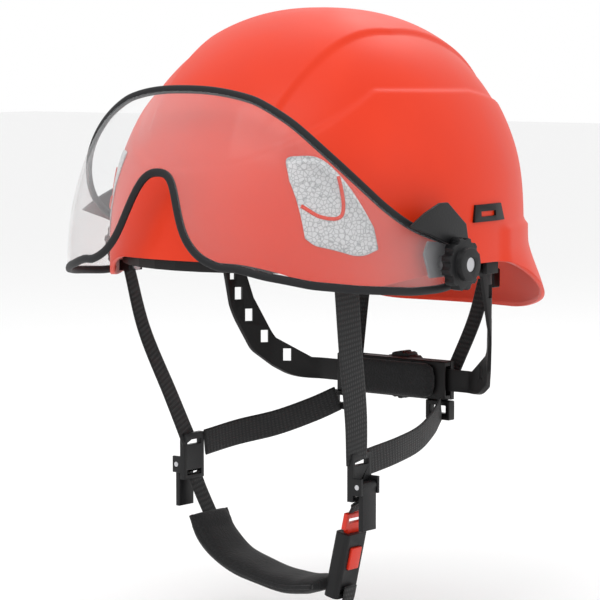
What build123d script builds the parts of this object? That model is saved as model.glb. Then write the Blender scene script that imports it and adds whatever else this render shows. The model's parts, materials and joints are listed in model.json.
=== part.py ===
from build123d import *
import os
from math import cos, pi, sin

os.makedirs("parts", exist_ok=True)

# Frame: front of the helmet at -Y, wearer's left at +X, up at +Z, millimetres.
# The origin is where the head carries the helmet: middle of the headband, level of the front rim.

# ---- driving dimensions ----
SHELL_W = 226        # outside width
SHELL_L = 282        # outside length without the brim
SHELL_Y = -10        # middle of the shell along Y
CROWN_Z = 139        # top of the shell above the front rim
SHELL_T = 3          # shell wall
LINER_T = 22         # foam thickness
LINER_GAP = 0.5
ROUNDNESS = 2.3      # superellipse exponent of the dome's profile
VISOR_W = 238        # middle of the lens, side to side
VISOR_REACH = 122    # from the pivots forward to the lens
LENS_T = 2
EDGING_T = 5
EDGING_W = 4
PIVOT_Y = -45
PIVOT_Z = -4
PIN_R = 4
FIT = 0.05           # radial clearance of a running fit
WEB_W = 16           # webbing width
WEB_T = 1.6
ARM_T = 2.2
CRADLE_Y = 65
CRADLE_Z = -88
DIVIDER = (64, -55, -130)


FACETS = 40
DOME_STEPS = 7


def stack(levels):
    """Closed solid of plane facets through oval outlines, each given as (z, scale of the oval)."""
    def oval(z, k):
        turns = [2 * pi * i / FACETS for i in range(FACETS)]
        return [(k * SHELL_W / 2 * cos(t), SHELL_Y + k * SHELL_L / 2 * sin(t), z) for t in turns]

    rings = [oval(z, k) for z, k in levels]
    faces = [make_face(Polyline(*rings[0], close=True)), make_face(Polyline(*rings[-1], close=True))]
    for low, high in zip(rings, rings[1:]):
        for i in range(FACETS):
            j = (i + 1) % FACETS
            faces.append(make_face(Polyline(low[i], low[j], high[j], high[i], close=True)))
    return Solid(Shell(faces))


def dome(inset, top):
    """Solid dome with a straight skirt below the rim, inset from the outside."""
    k = 1 - inset / (SHELL_L / 2)
    e = 2 / ROUNDNESS
    turns = [0.97 * pi / 2 * i / DOME_STEPS for i in range(DOME_STEPS + 1)]
    levels = [(top * sin(t) ** e, k * cos(t) ** e) for t in turns]
    peak = levels[-1][0]
    return stack([(-60, k)] + [(z * top / peak, w) for z, w in levels])


def below(points, deep=-90):
    """Everything under a line drawn in the side view as (y, z)."""
    outline = [*points, (points[-1][0], deep), (points[0][0], deep)]
    return extrude(Plane.YZ * make_face(Polyline(*outline, close=True)), 200, both=True)


def plate_yz(points, x0, x1):
    """A flat plate with an outline in (y, z), between two X stations."""
    return Pos(x0, 0, 0) * extrude(Plane.YZ * make_face(Polyline(*points, close=True)), x1 - x0)


def rod_x(x0, x1, r, y, z):
    return Pos((x0 + x1) / 2, y, z) * Rot(0, 90, 0) * Cylinder(r, x1 - x0)


def rod_y(y0, y1, r, x, z):
    return Pos(x, (y0 + y1) / 2, z) * Rot(90, 0, 0) * Cylinder(r, y1 - y0)


def block(lo, hi):
    return Pos(*[(a + b) / 2 for a, b in zip(lo, hi)]) * Box(*[b - a for a, b in zip(lo, hi)])


def band(start, end, width_dir, width=WEB_W, thick=WEB_T):
    """A straight run of flat webbing."""
    a, b = Vector(*start), Vector(*end)
    run = b - a
    across = Vector(*width_dir)
    normal = run.cross(across).normalized()
    plane = Plane(origin=(a + b) * 0.5, x_dir=normal.cross(run.normalized()), z_dir=run.normalized())
    return plane * Box(width, thick, run.length)


def save(name, shape):
    solids = shape.solids()
    if len(solids) == 1:
        shape = solids[0]
    else:
        shape = Compound(children=[Solid(s.wrapped) for s in solids])
    export_step(shape, f"parts/{name}.step")


def save_both(name, shape):
    """The wearer's left piece as drawn, and its mirror image on the right."""
    save(f"left_{name}", shape)
    save(f"right_{name}", mirror(shape, Plane.YZ))


def save_set(name, shape):
    """Identical fasteners of both sides in one node, as separate solids."""
    save(name, Compound(children=[shape.solid(), mirror(shape, Plane.YZ).solid()]))


# ---- shell, brim and liner ----
RIM = [(-160, 0), (-135, -2), (-112, -18), (-70, -14), (-20, -6), (20, -8), (60, -24), (110, -40), (150, -42)]
BRIM_START = 15      # the flared rear brim begins behind this Y
BRIM_OUT = 12
BRIM_TOP = 4
BRIM_LOW = -48


rim_cut = below(RIM)
rear_half = block((-200, BRIM_START, -100), (200, 200, 60))
R = SHELL_L / 2
OUT = (R + BRIM_OUT) / R
WALL = SHELL_T / R
brim = stack([(BRIM_LOW, OUT + 0.01), (-30, OUT), (BRIM_TOP, 1.0)])
brim -= stack([(BRIM_LOW - 1, OUT + 0.01 - WALL), (-30, OUT - WALL), (BRIM_TOP + 1, 1.0 - WALL)])
brim &= rear_half
shell = (dome(0, CROWN_Z) - dome(SHELL_T, CROWN_Z - SHELL_T)) - below([(p[0], max(p[1], -29)) for p in RIM])
shell = shell + (brim - rim_cut)
boss_hole = rod_x(90, 140, PIN_R + 5, PIVOT_Y, PIVOT_Z)
boss_hole = boss_hole + mirror(boss_hole, Plane.YZ)
save("outer_shell", shell - boss_hole)


LINER_LOW = 10
liner = dome(SHELL_T + LINER_GAP, CROWN_Z - SHELL_T - LINER_GAP)
liner = liner - dome(SHELL_T + LINER_T, CROWN_Z - SHELL_T - LINER_T)
save("foam_liner", liner & block((-200, -200, LINER_LOW), (200, 200, 200)))

CROWN_PAD_T = 6
pad_base = dome(SHELL_T + LINER_T + 0.3, CROWN_Z - SHELL_T - LINER_T - 0.3)
pad_base = pad_base - dome(SHELL_T + LINER_T + CROWN_PAD_T, CROWN_Z - SHELL_T - LINER_T - CROWN_PAD_T)
save("crown_pad", pad_base & (Pos(0, SHELL_Y, 100) * Cylinder(45, 80)))

side_panel = plate_yz([(-118, 4), (-112, 52), (-96, 50), (-80, 22), (-70, 2), (-92, -6)], 60, 130)
panel_wall = dome(-1.2, CROWN_Z + 1.2) - dome(-0.2, CROWN_Z + 0.2)
save_both("reflective_panel", panel_wall & side_panel)

# ---- head suspension: front band, brow pad, hangers ----
BAND_LOW, BAND_HIGH = -8, 9


def band_ring(inset, thick):
    out = dome(inset, CROWN_Z) - dome(inset + thick, CROWN_Z + 5)
    return out & block((-200, -200, BAND_LOW), (200, 200, BAND_HIGH))


BAND_INSET = 8
front_half = block((-200, -200, -50), (200, 2, 60))
front_band = band_ring(BAND_INSET, 2) & front_half
HANGER_Y, HANGER_Z = 20, -9
save("front_headband", front_band & block((-200, -200, BAND_LOW), (200, -4, 8)))
brow = band_ring(BAND_INSET + 2.3, 6) & block((-200, -200, -50), (200, -60, 60))
save("brow_pad", brow)

CLIP_Y = -70
CLIP_HALF = 6
clip = block((86, CLIP_Y - CLIP_HALF, 1), (104, CLIP_Y + CLIP_HALF, 6))
clip = clip & (dome(SHELL_T + 0.2, CROWN_Z) - dome(BAND_INSET, CROWN_Z))
save_set("band_clips", clip)

# ---- headband arms, racks, cradle and adjuster ----
HANGER_R = 3
TRAVEL = 5           # how far each arm is drawn in
hanger = rod_x(90, 104, HANGER_R, HANGER_Y, HANGER_Z) + rod_x(88, 90, HANGER_R + 2, HANGER_Y, HANGER_Z)
hanger = hanger + block((102, HANGER_Y - 6, HANGER_Z - 6), (105, HANGER_Y + 6, 6))
save_both("hanger_pin", hanger)

arm_plan = FilletPolyline((99.5, 6), (99.5, 26), (84, 47), (58, CRADLE_Y), (37, CRADLE_Y), radius=9)
arm_ribbon = Plane.XY.offset(-110) * trace(arm_plan, ARM_T)
arm_wall = extrude(arm_ribbon, 120)
ARM_W = 13.5
arm_route = [(8, -6), (22, -12), (30, -44), (42, -72), (58, CRADLE_Z + 1), (72, CRADLE_Z)]
arm_side = FilletPolyline(*arm_route, radius=8)
arm_band = extrude(Plane.YZ * trace(arm_side, ARM_W), 200)
arm = arm_wall & arm_band
HOLE_WIDE, HOLE_HIGH = 5, 8
ARM_HOLES = [(99.5, 25, -26, 0), (97.5, 29, -39, 20), (93, 34.5, -53, 37), (86.5, 42.5, -67, 37),
             (76, 52.5, -79, 50)]   # x, y, z and turn of each hole
for x, y, z, turn in ARM_HOLES:
    arm = arm - Pos(x, y, z) * Rot(0, 0, turn) * Box(12, HOLE_WIDE, HOLE_HIGH)
arm = arm - rod_x(90, 110, HANGER_R + 0.15, HANGER_Y, HANGER_Z)
save_both("headband_arm", arm)

PITCH_R = 5
RACK_T = 3
RACK_GAP = 0.3
TOOTH = 1.5


def rack(side):
    """Toothed bar from an arm's end to the pinion; side is +1 above, -1 below."""
    near = CRADLE_Z + side * (PITCH_R + RACK_GAP)
    far = CRADLE_Z + side * 8.5
    root = near + side * TOOTH
    bar = block((-14, CRADLE_Y - RACK_T / 2, min(root, far)), (36.8, CRADLE_Y + RACK_T / 2, max(root, far)))
    for i in range(14):
        bar += Pos(-13 + 2.6 * i, CRADLE_Y, near + side * TOOTH / 2) * Box(1.1, RACK_T, TOOTH + 0.4)
    return bar + block((33, CRADLE_Y - 1.1, CRADLE_Z - 7), (36.8, CRADLE_Y + 1.1, CRADLE_Z + 7))


save("left_rack", rack(1))
save("right_rack", mirror(rack(-1), Plane.YZ))

pinion = rod_y(CRADLE_Y - 1.8, CRADLE_Y + 1.8, PITCH_R - TOOTH + 0.4, 0, CRADLE_Z)
for i in range(12):
    pinion += Pos(0, CRADLE_Y, CRADLE_Z) * Rot(0, 30 * i, 0) * Pos(PITCH_R - 1.2, 0, 0) * Box(1.6, 3.4, 0.9)
SHAFT_R = 2
WHEEL_Y = CRADLE_Y + 6.5
shaft = rod_y(CRADLE_Y + 1.8, WHEEL_Y, SHAFT_R, 0, CRADLE_Z)
save("pinion_gear", pinion + shaft)

WHEEL_R = 15
wheel = rod_y(WHEEL_Y, WHEEL_Y + 10, WHEEL_R, 0, CRADLE_Z)
for i in range(18):
    grip = Pos(WHEEL_R + 0.6, 0, 0) * Rot(90, 0, 0) * Cylinder(1.5, 14)
    wheel -= Pos(0, WHEEL_Y + 5, CRADLE_Z) * Rot(0, 20 * i, 0) * grip
save("adjuster_wheel", wheel)

CRADLE_HALF = 42
CRADLE_HIGH = 12
cavity = block((-CRADLE_HALF - 5, CRADLE_Y - 2.4, CRADLE_Z - 9),
               (CRADLE_HALF + 5, CRADLE_Y + 2.4, CRADLE_Z + 9))
frame = block((-CRADLE_HALF, CRADLE_Y - 4.2, CRADLE_Z - CRADLE_HIGH),
              (CRADLE_HALF, CRADLE_Y + 2.6, CRADLE_Z + CRADLE_HIGH))
save("nape_cradle", frame - cavity - block((-50, CRADLE_Y + 2.4, -120), (50, CRADLE_Y + 3, -60)))
cover = block((-CRADLE_HALF, CRADLE_Y + 2.4, CRADLE_Z - CRADLE_HIGH),
              (CRADLE_HALF, CRADLE_Y + 6, CRADLE_Z + CRADLE_HIGH))
for side in (-1, 1):
    for i in range(4):
        x = side * (20 + 5 * i)
        cover += block((x - 1, CRADLE_Y + 5.5, CRADLE_Z - 11), (x + 1, CRADLE_Y + 8, CRADLE_Z + 11))
save("ratchet_housing", cover - rod_y(CRADLE_Y, CRADLE_Y + 8, SHAFT_R + FIT, 0, CRADLE_Z))
PAD_Y = CRADLE_Y - 4.5
pad = block((-36, PAD_Y - 6, CRADLE_Z - 11), (36, PAD_Y, CRADLE_Z + 11))
save("nape_pad", fillet(pad.edges().filter_by(Axis.Y), 6))

# ---- visor: lens, edging, arms, brackets, pivots and knobs ----
VISOR_LEAN = ((-24, 1.0, 1.02), (20, 0.997, 1.0), (96, 0.8, 0.8))
PLAN_POWER = 2.4


def visor_plan(z, side_k, front_k, inset):
    """Closed plan outline of the lens at one height."""
    a = VISOR_W / 2 * side_k - inset
    b = VISOR_REACH * front_k - inset
    e = 2 / PLAN_POWER
    marks = [(a * cos(t) ** e, PIVOT_Y - b * sin(t) ** e) for t in [k * pi / 12 for k in range(1, 6)]]
    left = [(a, PIVOT_Y + 0.0), *marks, (0, PIVOT_Y - b)]
    right = [(-x, y) for x, y in reversed(left[:-1])]
    front = Spline(left + right, tangents=[(0, -1), (0, 1)])
    back = Polyline((-a, PIVOT_Y), (-a, 0), (a, 0), (a, PIVOT_Y))
    return Plane.XY.offset(z) * make_face(front + back)


def visor_wall(thick):
    outer = loft([visor_plan(z, s, f, -thick / 2) for z, s, f in VISOR_LEAN], ruled=True)
    inner = loft([visor_plan(z, s, f, thick / 2) for z, s, f in VISOR_LEAN], ruled=True)
    return (outer - inner) & block((-200, -250, -60), (200, PIVOT_Y + 20, 150))


VISOR_SIDE = [(-27, -4), (-32, 7), (-50, 12), (-70, 17), (-94, 34), (-112, 54), (-130, 74), (-144, 85),
              (-160, 90), (-185, 90), (-185, 4), (-163, 1), (-150, -7), (-132, -12), (-112, -15),
              (-70, -18), (-50, -18), (-33, -15)]
ARCH = [(-40, -30), (-40, -2), (-32, 4), (-24, 16), (-19, 34), (-12, 45), (0, 49),
        (12, 45), (19, 34), (24, 16), (32, 4), (40, -2), (40, -30)]


def visor_region(inset):
    side = make_face(Polyline(*VISOR_SIDE, close=True))
    arch = make_face(Polyline(*ARCH, close=True))
    if inset:
        side = offset(side, -inset, kind=Kind.INTERSECTION)
        arch = offset(arch, inset, kind=Kind.INTERSECTION)
    body = extrude(Plane.YZ * side, 200, both=True)
    hole = Plane.XZ * arch
    return body - extrude(hole, 260)


pivot_holes = rod_x(-140, 140, PIN_R + FIT, PIVOT_Y, PIVOT_Z)
lens = (visor_wall(LENS_T) & visor_region(EDGING_W)) - pivot_holes
save("visor_lens", lens)
save("visor_edging", visor_wall(EDGING_T) & (visor_region(0) - visor_region(EDGING_W)))

ARM_PLATE = [(-33, -12), (-33, 4), (-48, 8), (-58, 9), (-62, 2), (-56, -12)]
save_both("visor_arm", plate_yz(ARM_PLATE, 113.3, 114.9) - pivot_holes)
BRACKET = [(-88, 19), (-74, 26), (-60, 31), (-52, 31), (-34, 18), (-32, 9), (-50, 7), (-68, 13)]
save_both("visor_bracket", plate_yz(BRACKET, 122.2, 124.2))

washer = rod_x(111.6, 113.1, 8, PIVOT_Y, PIVOT_Z) - pivot_holes
save_set("pivot_washers", washer)
screw = rod_x(104, 134.5, PIN_R, PIVOT_Y, PIVOT_Z) + rod_x(104, 106, PIN_R + 4, PIVOT_Y, PIVOT_Z)
save_both("pivot_screw", screw)

KNOB_R = 15
knob = rod_x(124.6, 131, KNOB_R, PIVOT_Y, PIVOT_Z) + rod_x(131, 135, 9.5, PIVOT_Y, PIVOT_Z)
for i in range(12):
    scallop = Pos(0, KNOB_R + 1, 0) * Rot(0, 90, 0) * Cylinder(2.6, 10)
    knob -= Pos(128, PIVOT_Y, PIVOT_Z) * Rot(30 * i, 0, 0) * scallop
save_both("pivot_knob", knob - pivot_holes)

# ---- rear side clips ----
clip_slab = plate_yz([(-12, 17), (-10, 27), (20, 27), (24, 17)], 90, 130)
clip_slab = clip_slab - plate_yz([(-4, 20), (-4, 23), (12, 23), (12, 20)], 80, 140)
save_both("lamp_clip", (dome(-3, CROWN_Z) - dome(-0.2, CROWN_Z)) & clip_slab)

# ---- webbing, dividers and cam levers ----
DX, DY, DZ = DIVIDER
FRONT_TOP = (82, -91, -17.5)
front_low = (DX + 1, DY - 3, DZ + 17.5)
save_both("front_strap", band(FRONT_TOP, front_low, (0.35, 0.94, 0)))
rivet = rod_x(74.3, 76, 3, -92, -12) + rod_x(76, 80, 1.8, -92, -12)
save_set("anchor_rivets", rivet)
save_both("strap_anchor", block((76, -98, -15), (83.5, -86, -8.6)) - rivet)

REAR_LOW = (DX - 2, DY + 10.6, DZ + 6)
REAR_MID = (56, 14, -118)
REAR_TOP = (40, 57.6, CRADLE_Z - 17)
save_both("rear_strap", band(REAR_LOW, REAR_MID, (0, 0, 1)) + band(REAR_MID, REAR_TOP, (0, 0, 1)))
save_both("cradle_loop", block((28, 60, CRADLE_Z - 24), (46, 66, CRADLE_Z - CRADLE_HIGH)) -
          block((31, 58, CRADLE_Z - 20), (43, 70, CRADLE_Z - 15)))
BRIM_TOP_PT = (47.5, 95, -28)
save_both("brim_strap", band(BRIM_TOP_PT, (39, 75.2, CRADLE_Z + 6), (1, -0.2, 0), width=12))
save_both("brim_hook", block((42, 97.6, -32), (53, 105, -20)))

divider = block((DX - 2, DY - 9, DZ - 14), (DX + 2, DY + 9, DZ + 14))
divider -= block((DX - 5, DY - 6.5, DZ + 7), (DX + 5, DY + 6.5, DZ + 10))
divider -= block((DX - 5, DY - 6.5, DZ - 11.5), (DX + 5, DY + 6.5, DZ - 8.5))
ears = block((DX + 2, DY - 9, DZ - 10), (DX + 8, DY - 7, DZ))
ears += block((DX + 2, DY + 7, DZ - 10), (DX + 8, DY + 9, DZ))
LEVER_X, LEVER_Z = DX + 5, DZ - 5
LEVER_PIN_R = 1.5
lever_pin = rod_y(DY - 9, DY + 9, LEVER_PIN_R, LEVER_X, LEVER_Z)
save_both("strap_divider", (divider + ears) - lever_pin)
save_set("lever_pins", lever_pin)
lever = rod_y(DY - 6.6, DY + 6.6, 2.8, LEVER_X, LEVER_Z)
lever += block((LEVER_X - 0.6, DY - 6.6, LEVER_Z - 26), (LEVER_X + 2.4, DY + 6.6, LEVER_Z))
save_both("cam_lever", lever - rod_y(DY - 9, DY + 9, LEVER_PIN_R + FIT, LEVER_X, LEVER_Z))

# ---- chin: far link, pad, buckle ----
BUCKLE_TILT = 13
buckle = Location((50, -48, -178), (0, BUCKLE_TILT, 0))


def at_buckle(shape):
    return buckle * shape


tongue = block((-1.6, -9, 16), (1.6, 9, 26)) - block((-3, -6.5, 20), (3, 6.5, 23))
tongue += block((-1.6, -6, -8), (1.6, 6, 16))
save("buckle_tongue", at_buckle(tongue))
SOCKET_TOP, SOCKET_LOW = 14, -26
socket = block((-5, -10, SOCKET_LOW), (5, 10, SOCKET_TOP))
socket = fillet(socket.edges().filter_by(Axis.Z), 3)
socket -= block((-2, -6.4, -10), (2, 6.4, SOCKET_TOP + 1))
socket -= block((2, -5, -8), (6, 5, 6))
socket -= block((-6, -7, -23), (6, 7, -20))
save("buckle_socket", at_buckle(socket))
button = block((4, -4.7, -7.7), (6.4, 4.7, 5.7)) - block((3, -2.5, -3.5), (5.9, 2.5, 1.5))
save("release_button", at_buckle(button))
save("button_spring", at_buckle(Pos(3, 0, -1) * Rot(0, 90, 0) * (Cylinder(2, 1.9) - Cylinder(1.4, 3))))

near_web = band((DX - 0.5, DY + 1, DZ - 17), (58.4, -49, -150), (0, 1, 0), width=12)
save("near_chin_strap", near_web)
far_low = (-55.2, -48, -163.6)
save("far_chin_strap", band((-DX, DY + 2, DZ - 16), far_low, (0, 1, 0), width=12))

PAD_W = 32
pad_line = FilletPolyline((-58, -168), (-44, -184), (-14, -197), (18, -200), (36, -197), radius=14)
chin_pad = extrude(Plane.XZ.offset(48 - PAD_W / 2) * trace(pad_line, 8), PAD_W)
save("chin_pad", chin_pad)
save("strap_tail", at_buckle(block((5.3, -6, -34), (6.9, 6, -18.5))))
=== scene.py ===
import json
from math import cos, pi, radians, sin, tau

import bpy
import numpy as np
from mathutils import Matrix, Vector


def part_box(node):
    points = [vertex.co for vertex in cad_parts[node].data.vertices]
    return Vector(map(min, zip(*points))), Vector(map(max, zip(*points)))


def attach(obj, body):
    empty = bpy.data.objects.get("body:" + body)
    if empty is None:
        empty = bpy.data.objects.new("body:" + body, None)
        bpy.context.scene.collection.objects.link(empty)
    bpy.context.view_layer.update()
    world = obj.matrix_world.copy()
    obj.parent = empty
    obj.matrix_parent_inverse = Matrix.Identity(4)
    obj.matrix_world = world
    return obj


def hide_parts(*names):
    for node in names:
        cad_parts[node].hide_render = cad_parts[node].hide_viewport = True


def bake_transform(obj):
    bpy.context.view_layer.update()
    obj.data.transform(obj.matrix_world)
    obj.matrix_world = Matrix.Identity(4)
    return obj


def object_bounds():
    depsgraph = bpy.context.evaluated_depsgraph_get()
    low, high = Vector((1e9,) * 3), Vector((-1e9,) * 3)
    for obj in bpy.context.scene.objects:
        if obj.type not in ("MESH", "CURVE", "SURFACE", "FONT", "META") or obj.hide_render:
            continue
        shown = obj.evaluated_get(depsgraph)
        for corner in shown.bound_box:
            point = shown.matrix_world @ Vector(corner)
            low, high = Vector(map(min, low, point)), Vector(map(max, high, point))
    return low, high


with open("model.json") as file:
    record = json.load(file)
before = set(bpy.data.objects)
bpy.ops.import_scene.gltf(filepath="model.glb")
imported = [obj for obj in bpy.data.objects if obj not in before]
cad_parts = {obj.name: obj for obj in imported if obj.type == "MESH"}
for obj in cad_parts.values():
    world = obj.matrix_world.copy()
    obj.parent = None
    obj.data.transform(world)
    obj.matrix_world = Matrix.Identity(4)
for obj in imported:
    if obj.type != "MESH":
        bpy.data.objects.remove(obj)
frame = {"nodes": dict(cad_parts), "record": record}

cad_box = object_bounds()
MM = 0.001

# ---- sizes shared with the CAD model, in millimetres ----
SHELL_A, SHELL_B = 113.0, 141.0                 # half width and half length
CROWN_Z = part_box("outer_shell")[1][2] / MM
SHELL_Y = -10.0
DOME_POWER = 2.3
FRONT_POWER = 1.8     # the front of the dome slopes more than its back
# the rim's height along the side, as (y, z)
RIM = [(-160, -1), (-140, -2), (-125, -8), (-110, -17), (-90, -18), (-70, -14), (-20, -7), (10, -7),
       (30, -8), (48, -14), (72, -25), (95, -36), (120, -46), (150, -48)]
VISOR_A, VISOR_B, PIVOT_Y = 119.0, 121.0, -45.0
PLAN_POWER = 2.4       # exponent of the lens's plan outline
SHELL_THICK = 2.8
LINER_GAP, LINER_THICK = 4.5, 20
FILM_THICK, FILM_OUT = 0.6, 0.4
LENS_THICK = 1.8
WEB_WIDTH, WEB_THICK, NARROW_WEB = 16.0, 1.7, 12


# ---------------------------------------------------------------- mesh helpers
def mesh_piece(name, verts, faces, uvs=None, smooth=True):
    """A closed mesh from points in millimetres, placed in the shared frame in metres."""
    mesh = bpy.data.meshes.new(name)
    mesh.from_pydata([tuple(np.asarray(v) * MM) for v in verts], [], faces)
    if uvs is not None:
        layer = mesh.uv_layers.new(name="UVMap")
        for loop in mesh.loops:
            layer.data[loop.index].uv = uvs[loop.vertex_index]
    obj = bpy.data.objects.new(name, mesh)
    bpy.context.collection.objects.link(obj)
    for face in mesh.polygons:
        face.use_smooth = smooth
    return obj


def only(obj):
    bpy.ops.object.select_all(action="DESELECT")
    obj.select_set(True)
    bpy.context.view_layer.objects.active = obj


def apply(obj, kind, **settings):
    """Adds one modifier and applies it to the mesh."""
    only(obj)
    mod = obj.modifiers.new(kind.title(), kind)
    for key, value in settings.items():
        setattr(mod, key, value)
    bpy.ops.object.modifier_apply(modifier=mod.name)
    return obj


def outward(obj):
    """Joins doubled points and turns every face outwards."""
    only(obj)
    bpy.ops.object.mode_set(mode="EDIT")
    bpy.ops.mesh.select_all(action="SELECT")
    bpy.ops.mesh.remove_doubles(threshold=1e-6)
    bpy.ops.mesh.normals_make_consistent(inside=False)
    bpy.ops.object.mode_set(mode="OBJECT")
    return obj


def grid(rows, cols, wrap):
    """Quads over a rows by cols sheet of points; wrap joins the last column to the first."""
    last = cols if wrap else cols - 1
    return [(r * cols + c, r * cols + (c + 1) % cols, (r + 1) * cols + (c + 1) % cols, (r + 1) * cols + c)
            for r in range(rows - 1) for c in range(last)]


def end_caps(rows, sides):
    """The two end faces of a strip swept as rows rings of sides points."""
    return [tuple(range(sides)), tuple(range((rows - 1) * sides, rows * sides))]


def ease(v, lo, hi):
    """0 below lo, 1 above hi, and a smooth step between."""
    t = min(max((v - lo) / (hi - lo), 0.0), 1.0)
    return t * t * (3 - 2 * t)


def through(points, count):
    """Catmull-Rom curve through points, evenly parameterised."""
    p = [np.array(q, float) for q in points]
    p = [2 * p[0] - p[1]] + p + [2 * p[-1] - p[-2]]
    out = []
    for s in np.linspace(0, len(p) - 3 - 1e-9, count):
        i, t = int(s), s - int(s)
        a, b, c, d = p[i:i + 4]
        out.append(0.5 * (2 * b + (c - a) * t + (2 * a - 5 * b + 4 * c - d) * t * t
                          + (3 * b - a - 3 * c + d) * t ** 3))
    return out


def softened(values, passes):
    """Values averaged with their neighbours, the two ends held."""
    v = np.array(values, float)
    for _ in range(passes):
        v[1:-1] = (v[:-2] + 2 * v[1:-1] + v[2:]) / 4
    return v


# ---------------------------------------------------------------- materials
def group(name, ins, outs):
    tree = bpy.data.node_groups.new(name, "ShaderNodeTree")
    for label, kind, value in ins:
        sock = tree.interface.new_socket(label, in_out="INPUT", socket_type=kind)
        sock.default_value = value
    for label, kind in outs:
        tree.interface.new_socket(label, in_out="OUTPUT", socket_type=kind)
    return tree, tree.nodes.new("NodeGroupInput"), tree.nodes.new("NodeGroupOutput")


def surface_grain():
    """Fine moulded grain: a height and a slow mottle, both from object coordinates."""
    tree, gin, gout = group("SurfaceGrain", [("Scale", "NodeSocketFloat", 900.0)],
                            [("Height", "NodeSocketFloat"), ("Mottle", "NodeSocketFloat")])
    new, link = tree.nodes.new, tree.links.new
    coord = new("ShaderNodeTexCoord")
    fine, slow = new("ShaderNodeTexNoise"), new("ShaderNodeTexNoise")
    link(gin.outputs["Scale"], fine.inputs["Scale"])
    slow.inputs["Scale"].default_value = 38
    for tex in (fine, slow):
        link(coord.outputs["Object"], tex.inputs["Vector"])
    link(fine.outputs["Fac"], gout.inputs["Height"])
    link(slow.outputs["Fac"], gout.inputs["Mottle"])
    return tree


GRAIN = surface_grain()


def new_material(name):
    mat = bpy.data.materials.new(name)
    mat.use_nodes = True
    shader = mat.node_tree.nodes["Principled BSDF"]
    return mat, mat.node_tree.nodes.new, mat.node_tree.links.new, shader


def blend_colours(new, link, factor, dark, light, shader):
    """Base colour that drifts from dark to light with factor."""
    mix = new("ShaderNodeMix")
    mix.data_type = "RGBA"
    mix.inputs["A"].default_value = (*dark, 1)
    mix.inputs["B"].default_value = (*light, 1)
    link(factor, mix.inputs["Factor"])
    link(mix.outputs["Result"], shader.inputs["Base Color"])


def raise_surface(new, link, height, strength, distance, shader):
    """Bump from a height."""
    rise = new("ShaderNodeBump")
    rise.inputs["Strength"].default_value = strength
    rise.inputs["Distance"].default_value = distance
    link(height, rise.inputs["Height"])
    link(rise.outputs["Normal"], shader.inputs["Normal"])


def plastic(name, dark, light, rough, grain, bump, coat=0.0, coat_rough=0.2):
    """Moulded plastic: slow colour drift, grain in the bump and in the roughness."""
    mat, new, link, shader = new_material(name)
    node = new("ShaderNodeGroup")
    node.node_tree = GRAIN
    node.inputs["Scale"].default_value = grain
    blend_colours(new, link, node.outputs["Mottle"], dark, light, shader)
    spread = new("ShaderNodeMapRange")
    spread.inputs["To Min"].default_value = rough - 0.05
    spread.inputs["To Max"].default_value = rough + 0.05
    link(node.outputs["Mottle"], spread.inputs["Value"])
    link(spread.outputs["Result"], shader.inputs["Roughness"])
    raise_surface(new, link, node.outputs["Height"], bump, 0.0002, shader)
    shader.inputs["Specular IOR Level"].default_value = 0.3
    shader.inputs["Coat Weight"].default_value = coat
    shader.inputs["Coat Roughness"].default_value = coat_rough
    return mat


def woven(name, dark, light, along_scale, across_scale):
    """Ribbed webbing: ribs across the strap and fine cords along it, on the strap's own UV in metres."""
    mat, new, link, shader = new_material(name)
    uv = new("ShaderNodeUVMap")
    uv.uv_map = "UVMap"
    ribs, cords = new("ShaderNodeTexWave"), new("ShaderNodeTexWave")
    ribs.bands_direction, cords.bands_direction = "Y", "X"
    ribs.inputs["Scale"].default_value = along_scale
    cords.inputs["Scale"].default_value = across_scale
    total = new("ShaderNodeMath")
    total.operation = "MULTIPLY"
    for tex in (ribs, cords):
        link(uv.outputs["UV"], tex.inputs["Vector"])
    link(ribs.outputs["Fac"], total.inputs[0])
    link(cords.outputs["Fac"], total.inputs[1])
    blend_colours(new, link, ribs.outputs["Fac"], dark, light, shader)
    raise_surface(new, link, total.outputs[0], 0.7, 0.0004, shader)
    shader.inputs["Roughness"].default_value = 0.75
    shader.inputs["Sheen Weight"].default_value = 0.08
    return mat


def knitted(name):
    """Soft black pad cloth: small cells on object coordinates."""
    mat, new, link, shader = new_material(name)
    coord, cells = new("ShaderNodeTexCoord"), new("ShaderNodeTexVoronoi")
    cells.inputs["Scale"].default_value = 900
    link(coord.outputs["Object"], cells.inputs["Vector"])
    blend_colours(new, link, cells.outputs["Distance"], (0.002, 0.002, 0.0025), (0.012, 0.012, 0.013), shader)
    raise_surface(new, link, cells.outputs["Distance"], 0.5, 0.0005, shader)
    shader.inputs["Roughness"].default_value = 0.9
    shader.inputs["Sheen Weight"].default_value = 0.1
    return mat


def clear_lens(name):
    """Clear sheet: mostly transparent, its grey growing more opaque at grazing angles as a painted reflection
    of the gloss there.
    """
    mat, new, link, shader = new_material(name)
    edge = new("ShaderNodeLayerWeight")
    edge.inputs["Blend"].default_value = 0.35
    # painted reflection: the grey's opacity rises from facing to grazing angles, standing in for the sheet's
    # gloss
    painted_gloss = new("ShaderNodeMapRange")
    painted_gloss.inputs["To Min"].default_value = 0.05
    painted_gloss.inputs["To Max"].default_value = 0.32
    link(edge.outputs["Facing"], painted_gloss.inputs["Value"])
    link(painted_gloss.outputs["Result"], shader.inputs["Alpha"])
    grain = new("ShaderNodeGroup")
    grain.node_tree = GRAIN
    blend_colours(new, link, grain.outputs["Mottle"], (0.62, 0.64, 0.65), (0.70, 0.71, 0.72), shader)
    shader.inputs["Roughness"].default_value = 0.08
    shader.inputs["IOR"].default_value = 1.58
    return mat


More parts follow.
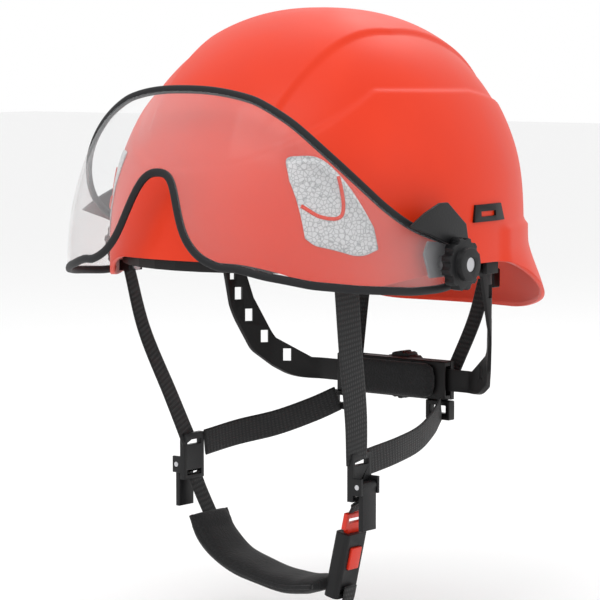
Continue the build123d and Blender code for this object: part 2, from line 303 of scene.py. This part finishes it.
def reflective_film(name):
    """Light grey film with the honeycomb of small cells that such film has."""
    mat, new, link, shader = new_material(name)
    coord, cells = new("ShaderNodeTexCoord"), new("ShaderNodeTexVoronoi")
    cells.feature = "DISTANCE_TO_EDGE"
    cells.inputs["Scale"].default_value = 420
    link(coord.outputs["Object"], cells.inputs["Vector"])
    ramp = new("ShaderNodeMapRange")
    ramp.inputs["From Max"].default_value = 0.12
    link(cells.outputs["Distance"], ramp.inputs["Value"])
    blend_colours(new, link, ramp.outputs["Result"], (0.30, 0.31, 0.32), (0.62, 0.63, 0.64), shader)
    shader.inputs["Metallic"].default_value = 0.35
    shader.inputs["Roughness"].default_value = 0.35
    return mat


def steel(name):
    mat, new, link, shader = new_material(name)
    node = new("ShaderNodeGroup")
    node.node_tree = GRAIN
    node.inputs["Scale"].default_value = 1500
    spread = new("ShaderNodeMapRange")
    spread.inputs["To Min"].default_value = 0.25
    spread.inputs["To Max"].default_value = 0.45
    link(node.outputs["Height"], spread.inputs["Value"])
    link(spread.outputs["Result"], shader.inputs["Roughness"])
    shader.inputs["Base Color"].default_value = (0.55, 0.55, 0.57, 1)
    shader.inputs["Metallic"].default_value = 1.0
    return mat


FINISH = {
    "shell_plastic": plastic("ShellPlastic", (0.66, 0.026, 0.0005), (0.72, 0.032, 0.001), 0.46, 1400, 0.05,
                             coat=0.03, coat_rough=0.4),
    "red_plastic": plastic("RedPlastic", (0.62, 0.022, 0.006), (0.68, 0.028, 0.008), 0.35, 1400, 0.1, 0.2),
    "foam": plastic("LinerFoam", (0.02, 0.02, 0.022), (0.035, 0.035, 0.037), 0.85, 420, 0.8),
    "band_plastic": plastic("BandPlastic", (0.002, 0.0016, 0.0018), (0.004, 0.003, 0.0035), 0.5, 900, 0.25),
    "dark_plastic": plastic("DarkPlastic", (0.003, 0.003, 0.0035), (0.006, 0.006, 0.007), 0.45, 800, 0.3),
    "arm_grey": plastic("ArmGrey", (0.13, 0.13, 0.14), (0.17, 0.17, 0.18), 0.45, 900, 0.2),
    "edging_rubber": plastic("EdgingRubber", (0.006, 0.006, 0.007), (0.010, 0.010, 0.012), 0.6, 1100, 0.35),
    "steel": steel("PlainSteel"),
    "reflective": reflective_film("ReflectiveFilm"),
    "lens_clear": clear_lens("ClearLens"),
    "padding": knitted("PadCloth"),
    "webbing": woven("Webbing", (0.002, 0.002, 0.0025), (0.012, 0.012, 0.0125), 105, 210),
}


def finish(obj, body, slot, *nodes):
    """Gives a new piece its finish and its body, and hides the CAD nodes that it stands for."""
    obj.data.materials.clear()
    obj.data.materials.append(FINISH[slot])
    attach(obj, body)
    if nodes:
        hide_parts(*nodes)
    return obj


def dress_cad_nodes():
    slots = {part["node"]: part["material_slot"] for part in frame["record"]["subparts"]}
    for name, obj in frame["nodes"].items():
        obj.data.materials.clear()
        obj.data.materials.append(FINISH[slots[name]])


# ---------------------------------------------------------------- shell
RELIEF_CROWN = 2.2
RELIEF_SIDE = 1.8
BRIM_FLARE = 12.0
crown_edge = ([-140, -109, -58, -17, 40, 90, 140], [34, 44, 50, 57, 57, 50, 38])
side_edge = ([-140, -96, -62, 15, 60, 140], [48, 73, 93, 92, 86, 70])


def relief(x, y, z):
    """How far the surface stands out: raised crown, the side step and the rear ledge."""
    half = np.interp(y, *crown_edge)
    crown = ease(half - abs(x), -2, 2) * ease(z, 60, 90)
    side = ease(np.interp(y, *side_edge) - z, -1.5, 1.5) * ease(z, 10, 60)
    ledge = ease(14 - z, 0, 3) * ease(y, 18, 30)
    return RELIEF_CROWN * crown + RELIEF_SIDE * side + 2.5 * ledge


def flare(y, z):
    return BRIM_FLARE * ease(2 - z, 0, 44) ** 0.8 * ease(y, 5, 60)


def shell_point(t, level, rim_z, inset):
    """A point at angle t; level runs from -1 at the rim, through 0 at the skirt's top, to 1 at the crown."""
    if level <= 0:
        z, k = rim_z * -level, 1.0
    else:
        e = 2 / DOME_POWER
        z, k = CROWN_Z * sin(level * pi / 2) ** e, cos(level * pi / 2) ** e
    slope = k
    if level > 0 and sin(t) < 0:
        steep = max(0.0, 1 - (z / CROWN_Z) ** FRONT_POWER) ** (1 / FRONT_POWER)
        slope = k + (steep - k) * ease(-sin(t), 0, 1)
    x, y = SHELL_A * k * cos(t), SHELL_Y + SHELL_B * slope * sin(t)
    out = relief(x, y, z) + flare(y, z) - inset
    flat = max(0.0, 1 - (z / CROWN_Z) ** 3)
    level_k = max(k, 0.02)
    normal = Vector((cos(t) * level_k, sin(t) * level_k * SHELL_A / SHELL_B, 1.1 * (1 - flat))).normalized()
    return (x + normal.x * out, y + normal.y * out, z + normal.z * out)


def make_shell():
    cols, dome_rows, skirt_rows = 320, 120, 16
    angles = [tau * c / cols for c in range(cols)]
    rims = [np.interp(SHELL_Y + SHELL_B * sin(t), *zip(*RIM)) for t in angles]
    rims = softened(rims * 3, 12)[cols:2 * cols]
    levels = [-1 + r / skirt_rows for r in range(skirt_rows)]
    levels += [0.985 * r / dome_rows for r in range(dome_rows + 1)]
    verts = []
    for level in levels:
        verts += [shell_point(t, level, rim, 0) for t, rim in zip(angles, rims)]
    faces = grid(len(levels), cols, True)
    verts.append((0, SHELL_Y, CROWN_Z + RELIEF_CROWN))
    top = (len(levels) - 1) * cols
    faces += [(top + c, top + (c + 1) % cols, len(verts) - 1) for c in range(cols)]
    shell = outward(mesh_piece("HelmetShell", verts, faces))
    apply(shell, "SOLIDIFY", thickness=SHELL_THICK * MM, offset=-1)
    finish(shell, "helmet", "shell_plastic", "outer_shell")


def make_liner():
    """Foam liner that follows the shell's inside, closed at its lower edge."""
    cols, rows = 120, 36
    angles = [tau * c / cols for c in range(cols)]
    levels = [0.04 + 0.935 * r / rows for r in range(rows + 1)]
    verts, stack = [], []
    for inset, order in ((LINER_GAP, levels), (LINER_GAP + LINER_THICK, levels[::-1])):
        for level in order:
            stack.append(level)
            verts += [shell_point(t, level, 0, inset) for t in angles]
    faces = grid(len(stack), cols, True)
    last = (len(stack) - 1) * cols
    faces += [(c, (c + 1) % cols, last + (c + 1) % cols, last + c) for c in range(cols)]
    finish(outward(mesh_piece("FoamLiner", verts, faces)), "helmet", "foam", "foam_liner")


PANEL_TOP = [(-119, 44), (-117, 55), (-112, 57), (-105, 56), (-99, 48), (-91, 32), (-84, 17)]
PANEL_LOW = [(-117, 12), (-113, 8), (-107, 6), (-101, 4), (-95, 2), (-89, 2), (-82, 5)]
GROOVE = [(-117, 30), (-110, 24), (-102, 23), (-99, 29), (-99, 46)]


def on_shell(y, z, out):
    """The point of the near side's surface at a place in the side view."""
    level = 2 / pi * np.arcsin(min(1.0, max(0.0, z) / CROWN_Z) ** (DOME_POWER / 2))
    lo, hi = -pi / 2, pi / 2
    for _ in range(40):
        mid = (lo + hi) / 2
        if shell_point(mid, max(level, 1e-4), 0, 0)[1] < y:
            lo = mid
        else:
            hi = mid
    p = shell_point(lo, max(level, 1e-4), 0, -out)
    return (p[0], p[1], z if z <= 0 else p[2])


def make_panels():
    """Reflective film on each temple, with a moulded groove line across it."""
    cols, rows = 40, 14
    top, low = through(PANEL_TOP, cols), through(PANEL_LOW, cols)
    for side, turn in (("left", lambda p: p), ("right", flip)):
        verts = []
        for r in range(rows):
            f = r / (rows - 1)
            verts += turn([on_shell(*(a * (1 - f) + b * f), FILM_OUT) for a, b in zip(low, top)])
        panel = mesh_piece(f"{side}_ReflectivePanel", verts, grid(rows, cols, False))
        apply(panel, "SOLIDIFY", thickness=FILM_THICK * MM, offset=0)
        finish(outward(panel), "helmet", "reflective", f"{side}_reflective_panel")
        line = turn([on_shell(y, z, 0.7) for y, z in through(GROOVE, 40)])
        finish(tube(f"{side}_PanelGroove", line, 1.1), "helmet", "shell_plastic")


# ---------------------------------------------------------------- visor
UPPER = [(-27, -2), (-31, 4), (-50, 10), (-68, 15), (-80, 20), (-95, 30), (-110, 44), (-126, 60), (-141, 76),
         (-155, 88), (-168, 95)]
LOWER = [(-27, -6), (-34, -15), (-50, -18), (-76, -18), (-112, -15), (-134, -12), (-150, -7), (-163, 0),
         (-170, 3)]
NOSE = [(0, 49), (9, 47), (14, 42), (18, 30), (21, 20), (26, 11), (34, 3), (42, -1), (52, -4)]
SIDE_DOMING = 0.24      # the lens is curved in both directions, drawn in towards its top
FRONT_DOMING = 0.25
LENS_COLS = 240
LENS_ROWS = 24


def lens_point(t, z, out):
    """A point of the lens at plan angle t and height z, moved outwards by out."""
    rise = (max(0.0, z + 10) / 100) ** 2.2
    a = VISOR_A * (1 - SIDE_DOMING * rise) + out
    b = VISOR_B * (1 - FRONT_DOMING * rise) + out
    e = 2 / PLAN_POWER
    c, s = cos(t), sin(t)
    x = a * abs(c) ** e * (1 if c >= 0 else -1)
    if s < 0:
        return (x, PIVOT_Y + VISOR_B * abs(s), z)
    return (x, PIVOT_Y - b * s ** e, z)


def visor_outline():
    """Plan angles with the lower and the upper edge's height at each."""
    e = 2 / PLAN_POWER
    spread = np.linspace(-1, 1, LENS_COLS)
    angles = [pi / 2 - (pi / 2 + 0.14) * v for v in spread]
    low, high = [], []
    for t in angles:
        s = sin(t)
        y = PIVOT_Y - VISOR_B * (s ** e if s > 0 else s)
        x = abs(VISOR_A * abs(cos(t)) ** e)
        up = np.interp(-y, [-p[0] for p in UPPER], [p[1] for p in UPPER])
        down = np.interp(-y, [-p[0] for p in LOWER], [p[1] for p in LOWER])
        if x < 52 and s > 0:
            down = np.interp(x, *zip(*NOSE))
        low.append(down)
        high.append(up)
    return angles, softened(low, 6), softened(high, 14)


def make_visor():
    angles, low, high = visor_outline()
    verts = []
    for r in range(LENS_ROWS):
        f = r / (LENS_ROWS - 1)
        verts += [lens_point(t, a + (b - a) * f, 0) for t, a, b in zip(angles, low, high)]
    lens = mesh_piece("VisorLens", verts, grid(LENS_ROWS, LENS_COLS, False))
    apply(lens, "SOLIDIFY", thickness=LENS_THICK * MM, offset=0)
    finish(outward(lens), "visor", "lens_clear", "visor_lens")
    loop = [lens_point(t, z, 0) for t, z in zip(angles, low)]
    loop += [lens_point(t, z, 0) for t, z in reversed(list(zip(angles, high)))]
    finish(closed_bead("VisorEdging", loop, 1.9, 2.4, 12), "visor", "edging_rubber", "visor_edging")


def closed_bead(name, loop, thick, high, sides):
    """A rounded rubber bead swept round a closed line of points."""
    pts = [Vector(p) for p in loop]
    count = len(pts)
    verts, faces = [], []
    for i, p in enumerate(pts):
        run = (pts[(i + 1) % count] - pts[i - 1]).normalized()
        out = Vector((p.x, p.y - PIVOT_Y, 0))
        out = (out - run * out.dot(run)).normalized()
        side = run.cross(out)
        for k in range(sides):
            a = tau * k / sides
            verts.append(p + out * (thick * cos(a)) + side * (high * sin(a)))
    for i in range(count):
        j = (i + 1) % count
        faces += [(i * sides + k, i * sides + (k + 1) % sides, j * sides + (k + 1) % sides, j * sides + k)
                  for k in range(sides)]
    return outward(mesh_piece(name, verts, faces))


# ---------------------------------------------------------------- webbing
def ribbon(name, points, across, width=WEB_WIDTH, thick=WEB_THICK, count=60):
    """A flat strap along a smooth line; across gives the width direction at each end."""
    line = through(points, count)
    run_so_far, verts, uvs = 0.0, [], []
    profile = [(cos(a), sin(a)) for a in [tau * k / 16 for k in range(16)]]
    profile = [(abs(c) ** 0.35 * np.sign(c), abs(s) ** 0.6 * np.sign(s)) for c, s in profile]
    for i, p in enumerate(line):
        run = Vector(line[min(i + 1, count - 1)] - line[max(i - 1, 0)]).normalized()
        f = i / (count - 1)
        wide = Vector(across[0]) * (1 - f) + Vector(across[1]) * f
        wide = (wide - run * wide.dot(run)).normalized()
        flat = run.cross(wide)
        if i:
            run_so_far += float(np.linalg.norm(line[i] - line[i - 1]))
        for c, s in profile:
            verts.append(Vector(p) + wide * (c * width / 2) + flat * (s * thick / 2))
            uvs.append((c * width / 2 * MM, run_so_far * MM))
    sides = len(profile)
    faces = grid(count, sides, True) + end_caps(count, sides)
    return outward(mesh_piece(name, verts, faces, uvs))


def flip(points):
    """The same points on the other side of the helmet."""
    return [(-x, y, z) for x, y, z in points]


def make_webbing():
    for side, turn in (("left", lambda p: p), ("right", flip)):
        line = turn([(82, -91, -14), (78, -82, -52), (70.5, -67, -92), (64, -57.5, -121)])
        front = ribbon(f"{side}_FrontStrap", line, turn([(0.35, 0.94, 0), (0.15, 1, 0)]))
        finish(front, "helmet", "webbing", f"{side}_front_strap")
        line = turn([(62, -45, -123), (61, -15, -120), (55, 16, -117), (47, 42, -111), (40, 59, -105)])
        rear = ribbon(f"{side}_RearStrap", line, turn([(0, 0.25, 1), (0, 0, 1)]))
        finish(rear, "helmet", "webbing", f"{side}_rear_strap")
        line = turn([(47.5, 96, -27), (45, 88, -52), (39, 75, -82)])
        brim = ribbon(f"{side}_BrimStrap", line, turn([(1, -0.2, 0), (1, -0.2, 0)]), width=NARROW_WEB)
        finish(brim, "helmet", "webbing", f"{side}_brim_strap")
    fore_aft = [(0, 1, 0), (0, 1, 0)]
    line = [(63.5, -54, -144.5), (61, -51, -147), (57.5, -49, -151)]
    near = ribbon("NearChinStrap", line, fore_aft, width=NARROW_WEB, count=16)
    finish(near, "helmet", "webbing", "near_chin_strap")
    tail_lo, tail_hi = [Vector(v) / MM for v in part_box("strap_tail")]
    line = [(tail_hi.x, -48, tail_hi.z), (tail_hi.x - 2, -48, tail_hi.z - 8), (tail_lo.x + 0.5, -49, tail_lo.z)]
    tail = ribbon("StrapTail", line, fore_aft, width=11, count=20)
    finish(tail, "chin", "webbing", "strap_tail")
    line = [(-64, -53, -141), (-61, -51, -151), (-54.5, -48, -167)]
    far = ribbon("FarChinStrap", line, fore_aft, width=NARROW_WEB, count=30)
    far.data.materials.append(FINISH["webbing"])
    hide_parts("far_chin_strap")
    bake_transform(far)


# ---------------------------------------------------------------- soft parts
PAD_Y = -48             # middle of the chin pad, front to back
PIPING_OUT = 16.0
DIMPLE_ROWS = 17.5


def make_chin_pad():
    """A stuffed strip under the chin, fuller in the middle, with a piped edge front and back."""
    rows, sides, verts = 70, 28, []
    route = [(-57, 0, -165), (-50, 0, -178), (-34, 0, -190), (-10, 0, -197), (14, 0, -200), (36, 0, -197.5)]
    path = through(route, rows)
    for i, p in enumerate(path):
        run = Vector(path[min(i + 1, rows - 1)] - path[max(i - 1, 0)]).normalized()
        up = Vector((0, 1, 0)).cross(run)
        end = min(i, rows - 1 - i) / 6
        swell = min(1.0, 0.45 + 0.55 * end ** 0.6)
        dimple = 1 + 0.05 * cos(i * tau / DIMPLE_ROWS)
        for k in range(sides):
            a = tau * k / sides
            c, s = cos(a), sin(a)
            wide = 16.5 * np.sign(c) * abs(c) ** 0.7 * (0.8 + 0.2 * swell)
            high = 5.4 * np.sign(s) * abs(s) ** 0.75 * swell * dimple
            verts.append(Vector((p[0], PAD_Y + wide, p[2])) + up * high)
    faces = grid(rows, sides, True) + end_caps(rows, sides)
    pad = outward(mesh_piece("ChinPad", verts, faces))
    finish(pad, "chin", "padding", "chin_pad")
    for name, edge in (("ChinPadPipingFront", -PIPING_OUT), ("ChinPadPipingBack", PIPING_OUT)):
        bead = tube(name, [(p[0], PAD_Y + edge, p[2]) for p in path], 1.5)
        finish(bead, "chin", "padding")


def tube(name, points, radius, sides=10):
    verts, count = [], len(points)
    for i, p in enumerate(points):
        run = (Vector(points[min(i + 1, count - 1)]) - Vector(points[max(i - 1, 0)])).normalized()
        first = run.orthogonal() if abs(run.y) > 0.9 else run.cross(Vector((0, 1, 0)))
        first.normalize()
        second = run.cross(first)
        verts += [Vector(p) + first * (radius * cos(tau * k / sides)) + second * (radius * sin(tau * k / sides))
                  for k in range(sides)]
    faces = grid(count, sides, True) + end_caps(count, sides)
    return outward(mesh_piece(name, verts, faces))


def soften_node(name, node, voxel, rounds):
    """A hidden pad: its CAD solid, remeshed and rounded off."""
    source = frame["nodes"][node]
    pad = bpy.data.objects.new(name, source.data.copy())
    bpy.context.collection.objects.link(pad)
    outward(pad)
    apply(pad, "REMESH", mode="VOXEL", voxel_size=voxel)
    apply(pad, "SMOOTH", iterations=rounds, factor=0.5)
    for face in pad.data.polygons:
        face.use_smooth = True
    finish(pad, "helmet", "padding", node)


def round_off(node, body, slot, width, segments=3):
    """Stands in for a CAD piece with the same shape, its moulded edges rounded over."""
    piece = bpy.data.objects.new(f"{node}_moulded", frame["nodes"][node].data.copy())
    bpy.context.collection.objects.link(piece)
    only(piece)
    bpy.ops.object.mode_set(mode="EDIT")
    bpy.ops.mesh.select_all(action="SELECT")
    bpy.ops.mesh.remove_doubles(threshold=1e-6)
    bpy.ops.mesh.dissolve_limited(angle_limit=radians(1))
    bpy.ops.object.mode_set(mode="OBJECT")
    apply(piece, "BEVEL", width=width * MM, segments=segments, limit_method="ANGLE", angle_limit=radians(32))
    only(piece)
    bpy.ops.object.shade_smooth_by_angle(angle=radians(35))
    finish(piece, body, slot, node)


# paired CAD pieces whose edges are rounded: node, body, slot, width of the rounding
ROUNDED = [("strap_divider", "helmet", "dark_plastic", 1.2), ("pivot_knob", "knob", "dark_plastic", 0.8),
           ("cam_lever", "lever", "dark_plastic", 0.9), ("visor_bracket", "visor", "dark_plastic", 0.8),
           ("cradle_loop", "helmet", "band_plastic", 0.7), ("headband_arm", "arm", "band_plastic", 0.5),
           ("lamp_clip", "helmet", "band_plastic", 0.4), ("hanger_pin", "helmet", "band_plastic", 0.6),
           ("brim_hook", "helmet", "band_plastic", 1.0), ("visor_arm", "visor", "arm_grey", 0.4)]


def round_all():
    for node, body, slot, width in ROUNDED:
        for side in ("left", "right"):
            rides = body if body in ("helmet", "visor") else f"{side}_{body}"
            round_off(f"{side}_{node}", rides, slot, width)
    round_off("buckle_socket", "chin", "dark_plastic", 0.8)
    round_off("buckle_tongue", "helmet", "red_plastic", 0.6)
    round_off("release_button", "button", "red_plastic", 0.5)
    round_off("nape_cradle", "helmet", "band_plastic", 0.8)
    round_off("ratchet_housing", "helmet", "band_plastic", 0.6)
    round_off("adjuster_wheel", "wheel", "band_plastic", 0.6)


# ---------------------------------------------------------------- stage, lights and camera
FLOOR_HALF = 9000
FLOOR_DROP = 20         # how far the floor is below the lowest piece


def make_stage():
    floor_z = cad_box[0][2] / MM - FLOOR_DROP
    corners = ((-1, -1), (1, -1), (1, 1), (-1, 1))
    verts = [(x * FLOOR_HALF, y * FLOOR_HALF, floor_z) for x, y in corners]
    floor = mesh_piece("Floor", verts, [(0, 1, 2, 3)])
    mat, _, _, shader = new_material("PaleFloor")
    shader.inputs["Base Color"].default_value = (0.9, 0.9, 0.9, 1)
    shader.inputs["Roughness"].default_value = 0.9
    floor.data.materials.append(mat)


CAM_AZ = 38.5
CAM_EL = 5.5
CAM_DISTANCE = 1.6
VIEW_WIDTH = 0.3635
AIM_RIGHT = -0.0185
AIM_UP = -0.0352


def camera_axes():
    a, e = radians(CAM_AZ), radians(CAM_EL)
    back = Vector((sin(a) * cos(e), -cos(a) * cos(e), sin(e)))
    right = Vector((cos(a), sin(a), 0))
    return back, right, back.cross(right)


def make_camera():
    back, right, up = camera_axes()
    data = bpy.data.cameras.new("Camera")
    data.lens = data.sensor_width * CAM_DISTANCE / VIEW_WIDTH
    camera = bpy.data.objects.new("Camera", data)
    bpy.context.collection.objects.link(camera)
    camera.location = right * AIM_RIGHT + up * AIM_UP + back * CAM_DISTANCE
    camera.rotation_euler = back.to_track_quat("Z", "Y").to_euler()
    bpy.context.scene.camera = camera


def lamp(name, azimuth, elevation, distance, size, power):
    a, e = radians(azimuth), radians(elevation)
    data = bpy.data.lights.new(name, "AREA")
    data.size, data.energy = size, power
    light = bpy.data.objects.new(name, data)
    bpy.context.collection.objects.link(light)
    light.location = Vector((sin(a) * cos(e), -cos(a) * cos(e), sin(e))) * distance
    light.rotation_euler = light.location.to_track_quat("Z", "Y").to_euler()


def make_lights():
    lamp("KeyLight", 10, 55, 1.6, 0.9, 7)
    lamp("FillLight", 95, 25, 1.7, 0.9, 2)
    lamp("BackLight", 200, 50, 1.6, 0.8, 5)
    world = bpy.data.worlds.new("Studio")
    world.use_nodes = True
    world.node_tree.nodes["Background"].inputs["Color"].default_value = (1, 1, 1, 1)
    world.node_tree.nodes["Background"].inputs["Strength"].default_value = 1.0
    bpy.context.scene.world = world
    bpy.context.scene.view_settings.view_transform = "Standard"


make_camera()
dress_cad_nodes()
make_shell()
make_liner()
make_panels()
make_visor()
make_webbing()
make_chin_pad()
round_all()
soften_node("CrownPad", "crown_pad", 0.0025, 12)
soften_node("BrowPad", "brow_pad", 0.0018, 8)
soften_node("NapePad", "nape_pad", 0.0018, 14)
make_lights()
make_stage()
